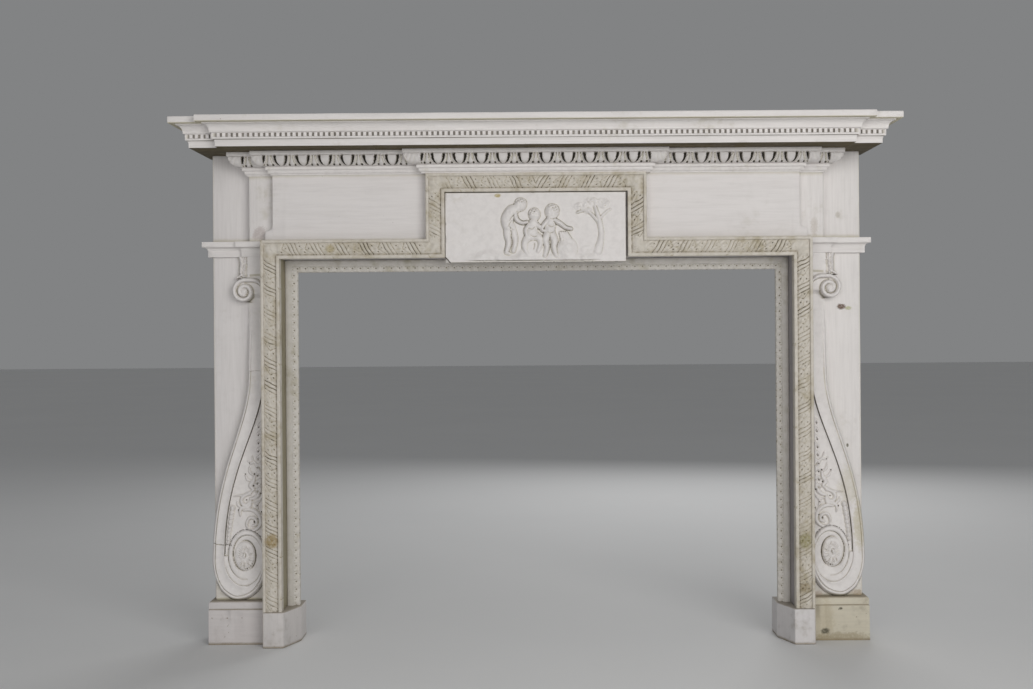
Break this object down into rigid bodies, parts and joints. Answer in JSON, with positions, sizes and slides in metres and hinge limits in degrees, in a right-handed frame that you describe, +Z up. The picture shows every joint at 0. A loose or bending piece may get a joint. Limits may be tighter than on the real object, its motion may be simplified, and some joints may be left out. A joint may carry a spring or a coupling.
{
  "type": "fireplace mantel",
  "caption": "Carved timber chimneypiece: stepped cornice shelf, egg-and-dart bed mould, framed centre tablet, mitred architrave, scroll consoles and plinth blocks round a rectangular opening.",
  "frame": {"origin": "centre of the footprint box at floor level", "axes": "+X along the wall to the right, -Y out of the carved front, +Z up"},
  "size_m": [2.034, 0.35, 1.502],
  "materials": {
    "board_paint": "old off-white paint, brushed on, worn on the edges",
    "carved_paint": "old off-white paint over carving, dirt in the hollows",
    "grimed_carving": "old off-white paint yellowed and grimed over shallow carving",
    "bare_pine": "unpainted, darkened pine",
    "plinth_paint": "old off-white paint, scuffed and stained"
  },
  "bodies": {
    "root": {"shelf_board": "board_paint", "crown_moulding": "carved_paint", "corona_board": "bare_pine", "bed_mould": "carved_paint", "frieze_board": "board_paint", "tablet": "carved_paint", "frame_top": "grimed_carving", "frame_left": "grimed_carving", "frame_right": "grimed_carving", "architrave_head_left": "grimed_carving", "architrave_head_right": "grimed_carving", "architrave_jamb_left": "grimed_carving", "architrave_jamb_right": "grimed_carving", "jamb_post_left": "bare_pine", "jamb_post_right": "bare_pine", "head_lining": "bare_pine", "slip_left": "grimed_carving", "slip_right": "grimed_carving", "slip_head": "grimed_carving", "frieze_strip_left": "board_paint", "frieze_strip_right": "board_paint", "side_board_left": "board_paint", "side_board_right": "board_paint", "side_return_left": "bare_pine", "side_return_right": "bare_pine", "impost_left": "board_paint", "impost_right": "board_paint", "console_left": "carved_paint", "console_right": "carved_paint", "outer_plinth_left": "plinth_paint", "outer_plinth_right": "plinth_paint", "inner_plinth_left": "plinth_paint", "inner_plinth_right": "plinth_paint"}
  },
  "joints": []
}
